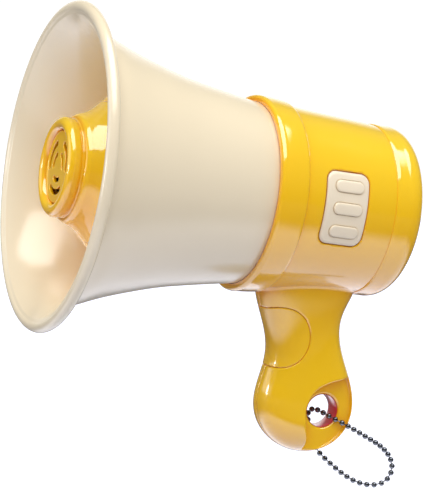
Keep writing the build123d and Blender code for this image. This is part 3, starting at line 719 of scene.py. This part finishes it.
# ---------------------------------------------------------------- moulded pieces
def plate_with_slots(x, y, z):
    """The pod's slotted disc."""
    radial = np.hypot(x, z)
    disc = soft_max(radial - 14.55, np.abs(y - 3.6) - 0.75, 0.4)
    around = np.degrees(np.arctan2(z, x))
    for sector in (30, 150, 270):
        turn = (around - sector + 180) % 360 - 180
        for radius, width, half in ((5.4, 1.9, 30), (10.2, 2.3, 33)):
            past = np.radians(np.maximum(np.abs(turn) - half, 0)) * radius
            disc = soft_max(disc, width / 2 - np.hypot(radial - radius, past), 0.35)
    return disc


def microphone_disc(x, y, z):
    """The perforated disc over the microphone."""
    disc = soft_max(np.hypot(x, z) - MIC_OPENING + 0.1, np.abs(y - 151.7) - 0.65, 0.4)
    for ring, count in ((0, 1), (3.6, 6), (7.2, 12)):
        for i in range(count):
            angle = 2 * math.pi * i / count
            hole = np.hypot(x - ring * math.cos(angle), z - ring * math.sin(angle))
            disc = soft_max(disc, 0.8 - hole, 0.3)
    return disc


def screw_head(centre_y, centre_z):
    """A domed case screw with a cross recess."""

    def field(x, y, z):
        u, v = y - centre_y, z - centre_z
        across = np.hypot(u, v)
        head = soft_max(across - 2.3, np.maximum(-x - 10.8 + 0.12 * across**2, x + 9.0), 0.4)
        cross = np.minimum(
            np.maximum(np.abs(u) - 0.32, np.abs(v) - 1.35), np.maximum(np.abs(v) - 0.32, np.abs(u) - 1.35)
        )
        head = soft_max(head, -np.maximum(cross, x + 9.9), 0.15)
        return np.minimum(head, np.maximum(across - 1.25, np.abs(x + 3.0) - 6.3))

    return field


def moulded(name, field, box, step, slot_name, body="megaphone", replaced=()):
    """A piece from a distance field, finished."""
    grow = 1.0 if FINE else 1.8
    piece = field_mesh(name, field, *box, step * grow)
    return finish_piece(piece, slot_name, body, replaced)


def box_mm(node, margin=0.4):
    """A CAD node's box in millimetres, with a margin."""
    low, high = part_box(node)
    return [v / MM - margin for v in low], [v / MM + margin for v in high]


def joined(pieces, name):
    """Several meshes joined into one object."""
    bpy.ops.object.select_all(action="DESELECT")
    for piece in pieces:
        piece.select_set(True)
    bpy.context.view_layer.objects.active = pieces[0]
    bpy.ops.object.join()
    pieces[0].name = pieces[0].data.name = name
    return pieces[0]


def eyelet():
    """The sleeve lining the lanyard hole, coloured coral red as painted shade: the redder tone the orange plastic takes
    deep in the shaded hole.
    """
    wall = [(EYE_RADIUS + 0.16, -4.3), (EYE_RADIUS + 0.16, 4.3)]
    outline = wall + smooth_curve([(EYE_RADIUS + 0.1, 4.5), (EYE_RADIUS, 4.3)], 3)
    outline += smooth_curve([(EYE_RADIUS, -4.3), (EYE_RADIUS + 0.1, -4.5)], 3)
    # The coral colour is painted shade for the inside of the hole.
    piece = turned_across("eye_liner", outline, 96, EYE_Y, EYE_Z)
    return finish_piece(piece, "coral_plastic", replaced=["lanyard_eyelet"])


def pivot_pin():
    """The pin that the trigger turns on."""
    end, radius = PIN_HALF, PIN_RADIUS
    outline = [(0, -end), (radius - 0.1, -end), (radius, 0.1 - end), (radius, end - 0.1), (radius - 0.1, end), (0, end)]
    piece = turned_across("pivot_pin", outline, 32, TRIGGER_Y, TRIGGER_Z)
    return finish_piece(piece, "screw_steel", replaced=["trigger_pin"])


# ---------------------------------------------------------------- ball chain
def loose_centres(node):
    """The centre of each separate solid in a CAD node, in millimetres, found from its connected faces."""
    mesh = frame["nodes"][node].data
    keys = {}
    parent = []

    def find(i):
        while parent[i] != i:
            parent[i] = parent[parent[i]]
            i = parent[i]
        return i

    place = []
    for vertex in mesh.vertices:
        key = tuple(round(c, 7) for c in vertex.co)
        if key not in keys:
            keys[key] = len(parent)
            parent.append(len(parent))
        place.append(keys[key])
    for edge in mesh.edges:
        a, b = (find(place[i]) for i in edge.vertices)
        parent[a] = b
    groups = {}
    for vertex, at in zip(mesh.vertices, place):
        groups.setdefault(find(at), []).append(np.array(vertex.co) / MM)
    boxes = [(np.min(g, axis=0), np.max(g, axis=0), np.array(g)) for g in groups.values()]
    return [((low + high) / 2, points) for low, high, points in boxes]


def bead_outline():
    """A hollow ball with rolled edges where the links pass through."""
    shell = arc((0, 0), 1.2, -59, 59, 18)
    mouth = smooth_curve([(0.618, 1.03), (0.56, 1.0), (0.55, 0.93), (0.6, 0.85)], 3)[1:]
    inner = arc((0, 0), 1.02, 54, -54, 8)
    mouth_back = [(r, -y) for r, y in mouth[::-1]]
    return shell + mouth + inner + mouth_back


def link_outline(length):
    """A wire link with a knob at each end."""
    knob = smooth_curve([(0.001, 0.3), (0.45, 0.34), (0.58, 0.5), (0.42, 0.74), (0.24, 0.9)], 4)
    rod = [(0.22, 1.0 + (length - 2.0) * i / 6) for i in range(7)]
    return knob + rod + [(r, length - y) for r, y in knob[::-1]]


def placed(vertices, start, direction):
    """Vertices made along +Y, moved to start and turned to point along direction."""
    turn = Vector((0, 1, 0)).rotation_difference(Vector(direction))
    return [tuple(turn @ Vector(v) + Vector(start)) for v in vertices]


def chain_axis(points):
    """The longest axis of a link, from its points."""
    centred = points - points.mean(axis=0)
    return np.linalg.svd(centred, full_matrices=False)[2][0]


def chain():
    """The ball chain, in the CAD's three groups of beads and links."""
    bead_vertices, bead_faces = lathe(bead_outline(), 28)
    for part in ("inner", "middle", "end"):
        body = f"chain_{part}"
        links = [(centre, chain_axis(points)) for centre, points in loose_centres(f"chain_links_{part}")]
        balls = [centre for centre, _ in loose_centres(f"chain_beads_{part}")]
        all_links = [
            (centre, chain_axis(points))
            for other in ("inner", "middle", "end")
            for centre, points in loose_centres(f"chain_links_{other}")
        ]
        vertices, faces = [], []
        for centre in balls:
            near = sorted(all_links, key=lambda link: np.linalg.norm(link[0] - centre))[:2]
            direction = Vector(near[0][0] - near[1][0]).normalized()
            faces += [[i + len(vertices) for i in face] for face in bead_faces]
            vertices += placed(bead_vertices, centre, direction)
        piece = new_object(f"beads_{part}", vertices, faces, 50)
        face_outwards(piece)
        finish_piece(piece, "chain_steel", body, [f"chain_beads_{part}"])
        vertices, faces = [], []
        pitch = 3.2
        link_vertices, link_faces = lathe(link_outline(pitch), 14)
        for centre, axis in links:
            faces += [[i + len(vertices) for i in face] for face in link_faces]
            vertices += placed(link_vertices, centre - axis * pitch / 2, axis)
        piece = new_object(f"links_{part}", vertices, faces, 60)
        face_outwards(piece)
        finish_piece(piece, "chain_steel", body, [f"chain_links_{part}"])


# ---------------------------------------------------------------- build
horn()
collar()
rear_end()
pod_cover()
pod_base()
eyelet()
pivot_pin()
chain()

left_box, right_box = box_mm("housing_left"), box_mm("housing_right")
moulded("housing_half_left", housing_field(1), left_box, 0.55, "yellow_plastic", replaced=["housing_left"])
moulded("housing_half_right", housing_field(-1), right_box, 0.55, "yellow_plastic", replaced=["housing_right"])
moulded("trigger_rocker", trigger_field, box_mm("trigger"), 0.35, "yellow_plastic", "trigger", ["trigger"])
moulded("key_panel", key_plate_field, box_mm("key_plate"), 0.25, "key_plastic", replaced=["key_plate"])
for key_name, (key_body, key_z) in KEYS.items():
    moulded(f"{key_name}_cap", key_field(key_z), box_mm(key_name), 0.2, "key_plastic", key_body, [key_name])
moulded("battery_hatch", door_field, box_mm("battery_door"), 0.3, "yellow_plastic", "door", ["battery_door"])
moulded("pod_grille", plate_with_slots, GRILLE_BOX, 0.2, "yellow_plastic", replaced=["grille_disc"])
moulded(
    "microphone_cover", microphone_disc, box_mm("microphone_grille"), 0.25, "black_plastic", replaced=["microphone_grille"]
)
screws = [
    field_mesh("screw", screw_head(y, z), (-10.9, y - 2.4, z - 2.4), (3.4, y + 2.4, z + 2.4), 0.18 if FINE else 0.3)
    for y, z in CASE_SCREWS
]
finish_piece(joined(screws, "case_screw_set"), "screw_steel", replaced=["case_screws"])

slots = {entry["node"]: entry["material_slot"] for entry in frame["record"]["subparts"]}
for node_name, node in frame["nodes"].items():
    if not node.hide_render:
        node.data.materials.clear()
        node.data.materials.append(MATERIALS[slots[node_name]])
        node.data.shade_smooth()
        bevel_edges = node.modifiers.new("edges", "EDGE_SPLIT")
        bevel_edges.split_angle = math.radians(35)


# ---------------------------------------------------------------- stage, light and camera
def plane(name, centre, size, material):
    """A flat square of the stage."""
    half = size / 2
    corners = [(-half, -half, 0), (half, -half, 0), (half, half, 0), (-half, half, 0)]
    mesh = bpy.data.meshes.new(name)
    mesh.from_pydata([tuple(Vector(c) + Vector(centre)) for c in corners], [], [(0, 1, 2, 3)])
    mesh.materials.append(material)
    surface = bpy.data.objects.new(name, mesh)
    bpy.context.scene.collection.objects.link(surface)
    return surface


def softbox(name, place, target, width, height, power, colour=(1, 1, 1)):
    """A rectangular area light aimed at a point."""
    light = bpy.data.lights.new(name, "AREA")
    light.shape = "RECTANGLE"
    light.size, light.size_y = width, height
    light.energy = power
    light.color = colour
    lamp = bpy.data.objects.new(name, light)
    lamp.location = place
    aim = Vector(target) - Vector(place)
    lamp.rotation_euler = aim.to_track_quat("-Z", "Y").to_euler()
    bpy.context.scene.collection.objects.link(lamp)
    return lamp


def camera_back():
    """The direction from the object to the camera."""
    azimuth, elevation = math.radians(67.53), math.radians(2.92)
    level = math.cos(elevation)
    return Vector((math.sin(azimuth) * level, -math.cos(azimuth) * level, math.sin(elevation)))


def pale_patch(nodes, looking, middle, edge, full):
    """One towards a direction and nothing away from it, with a soft edge between two cosines."""
    links = nodes.id_data.links
    closeness = nodes.new("ShaderNodeVectorMath")
    closeness.operation = "DOT_PRODUCT"
    closeness.inputs[1].default_value = middle
    links.new(looking, closeness.inputs[0])
    patch = nodes.new("ShaderNodeMapRange")
    patch.interpolation_type = "SMOOTHSTEP"
    patch.inputs["From Min"].default_value, patch.inputs["From Max"].default_value = edge, full
    links.new(closeness.outputs["Value"], patch.inputs["Value"])
    return patch.outputs["Result"]


def surroundings():
    """White to the camera, a soft bright room to dull surfaces, and one large softbox overhead in gloss."""
    world = bpy.data.worlds.new("studio")
    bpy.context.scene.world = world
    world.use_nodes = True
    nodes, links = world.node_tree.nodes, world.node_tree.links
    place = nodes.new("ShaderNodeTexCoord")
    split = nodes.new("ShaderNodeSeparateXYZ")
    links.new(place.outputs["Generated"], split.inputs["Vector"])
    across, along, up = split.outputs

    height = worked_out(nodes, "MAXIMUM", up, 0.02)
    sides = []
    for value, middle, half in ((across, CARD_MIDDLE[0], CARD_HALF[0]), (along, CARD_MIDDLE[1], CARD_HALF[1])):
        offset = worked_out(nodes, "SUBTRACT", worked_out(nodes, "DIVIDE", value, height), middle)
        outside = worked_out(nodes, "SUBTRACT", worked_out(nodes, "ABSOLUTE", offset), half - CARD_CORNER)
        sides.append(worked_out(nodes, "POWER", worked_out(nodes, "MAXIMUM", outside, 0.0), 2.0))
    reach = worked_out(nodes, "SQRT", worked_out(nodes, "ADD", *sides))
    card = nodes.new("ShaderNodeMapRange")
    card.interpolation_type = "SMOOTHSTEP"
    card.inputs["From Min"].default_value = CARD_CORNER + CARD_BLUR
    card.inputs["From Max"].default_value = CARD_CORNER - CARD_BLUR
    links.new(reach, card.inputs["Value"])
    dim = worked_out(nodes, "MULTIPLY_ADD", worked_out(nodes, "MAXIMUM", up, 0.0), 0.25, 0.06)
    behind = pale_patch(nodes, place.outputs["Generated"], -camera_back(), 0.75, 0.97)
    side = pale_patch(nodes, place.outputs["Generated"], SIDE_WALL, 0.80, 0.96)
    beyond = worked_out(nodes, "ADD", worked_out(nodes, "MULTIPLY_ADD", side, SIDE_WALL_RADIANCE, dim), behind)
    glossy_strength = worked_out(nodes, "MULTIPLY_ADD", card.outputs["Result"], CARD_RADIANCE, beyond)
    room_strength = worked_out(nodes, "MULTIPLY_ADD", worked_out(nodes, "MAXIMUM", up, 0.0), *ROOM_LIGHT)

    rays = nodes.new("ShaderNodeLightPath")
    glossy, room, seen = (nodes.new("ShaderNodeBackground") for _ in range(3))
    room.inputs["Color"].default_value = (1.0, 0.985, 0.97, 1)
    links.new(glossy_strength, glossy.inputs["Strength"])
    links.new(room_strength, room.inputs["Strength"])
    for background in (glossy, seen):
        background.inputs["Color"].default_value = (1, 1, 1, 1)
    seen.inputs["Strength"].default_value = 1.05
    lit = nodes.new("ShaderNodeMixShader")
    links.new(rays.outputs["Is Glossy Ray"], lit.inputs["Fac"])
    links.new(room.outputs["Background"], lit.inputs[1])
    links.new(glossy.outputs["Background"], lit.inputs[2])
    choose = nodes.new("ShaderNodeMixShader")
    links.new(rays.outputs["Is Camera Ray"], choose.inputs["Fac"])
    links.new(lit.outputs["Shader"], choose.inputs[1])
    links.new(seen.outputs["Background"], choose.inputs[2])
    links.new(choose.outputs["Shader"], nodes["World Output"].inputs["Surface"])


FLOOR_GLOW_TO_CAMERA = 0.85
FLOOR_GLOW_IN_GLOSS = 1.8
# how steeply a reflection has to look down to see the glowing floor
FLOOR_GLOW_SLOPES = (0.34, 0.58)
# the overhead softbox in gloss: sideways and lengthways place as slopes from straight up
CARD_MIDDLE = (0.36, -0.26)
CARD_HALF = (0.58, 0.80)
CARD_CORNER = 0.25
CARD_BLUR = 0.03
CARD_RADIANCE = 5.5
# a pale wall in gloss, off to the mouth's side
SIDE_WALL = (-0.30, -0.95, 0.0)
SIDE_WALL_RADIANCE = 1.6
ROOM_LIGHT = (-0.06, 1.05)


def studio():
    """A pale floor, a pale surrounding and soft lights."""
    floor_material, floor_nodes, floor_shader = principled("floor", (0.31, 0.32, 0.39), 0.6)
    floor_shader.inputs["Emission Color"].default_value = (0.91, 0.92, 1, 1)
    rays = floor_nodes.new("ShaderNodeLightPath")
    unlit_in_gloss = floor_nodes.new("ShaderNodeMix")
    unlit_in_gloss.data_type = "RGBA"
    unlit_in_gloss.inputs["A"].default_value = floor_shader.inputs["Base Color"].default_value
    unlit_in_gloss.inputs["B"].default_value = (0, 0, 0, 1)
    arriving = floor_nodes.new("ShaderNodeNewGeometry")
    steepness = floor_nodes.new("ShaderNodeSeparateXYZ")
    near = floor_nodes.new("ShaderNodeMapRange")
    near.interpolation_type = "SMOOTHSTEP"
    near.inputs["From Min"].default_value, near.inputs["From Max"].default_value = FLOOR_GLOW_SLOPES
    near.inputs["To Min"].default_value = 0.08
    near.inputs["To Max"].default_value = FLOOR_GLOW_IN_GLOSS
    glow = floor_nodes.new("ShaderNodeMath")
    glow.operation = "MULTIPLY_ADD"
    base = floor_nodes.new("ShaderNodeMath")
    base.operation = "MULTIPLY"
    base.inputs[1].default_value = FLOOR_GLOW_TO_CAMERA
    links = floor_material.node_tree.links
    links.new(rays.outputs["Is Glossy Ray"], unlit_in_gloss.inputs["Factor"])
    links.new(unlit_in_gloss.outputs["Result"], floor_shader.inputs["Base Color"])
    links.new(arriving.outputs["Incoming"], steepness.inputs["Vector"])
    links.new(steepness.outputs["Z"], near.inputs["Value"])
    links.new(near.outputs["Result"], glow.inputs[1])
    links.new(rays.outputs["Is Camera Ray"], base.inputs[0])
    links.new(rays.outputs["Is Glossy Ray"], glow.inputs[0])
    links.new(base.outputs["Value"], glow.inputs[2])
    links.new(glow.outputs["Value"], floor_shader.inputs["Emission Strength"])
    plane("floor", (0, 0.08, cad_low.z - 0.03), 12.0, floor_material)

    surroundings()
    centre = (cad_low + cad_high) / 2
    key = softbox("key_light", centre + Vector((0.45, -0.25, 0.75)), centre, 0.6, 0.6, 2.6, (1.0, 0.985, 0.96))
    key.visible_glossy = False
    softbox("front_light", centre + Vector((-0.16, -0.97, 0.0)), centre, 0.1, 0.14, 0.9)


def camera():
    """The camera, at the viewing angle of a three-quarter front view, rolled a little."""
    back, roll = camera_back(), math.radians(8.52)
    level_right = Vector((0, 0, 1)).cross(back).normalized()
    level_up = back.cross(level_right)
    right = math.cos(roll) * level_right + math.sin(roll) * level_up
    up = math.cos(roll) * level_up - math.sin(roll) * level_right
    data = bpy.data.cameras.new("camera")
    data.sensor_fit = "AUTO"
    data.sensor_width = 36.0
    data.lens = 150.0
    data.clip_start, data.clip_end = 0.05, 50
    lens = bpy.data.objects.new("camera", data)
    pose = Matrix((right, up, back)).transposed().to_4x4()
    pose.translation = Vector((0.77298, -0.24630, 0.01986))
    lens.matrix_world = pose
    bpy.context.scene.collection.objects.link(lens)
    bpy.context.scene.camera = lens


studio()
camera()
bpy.context.scene.view_settings.view_transform = "Standard"
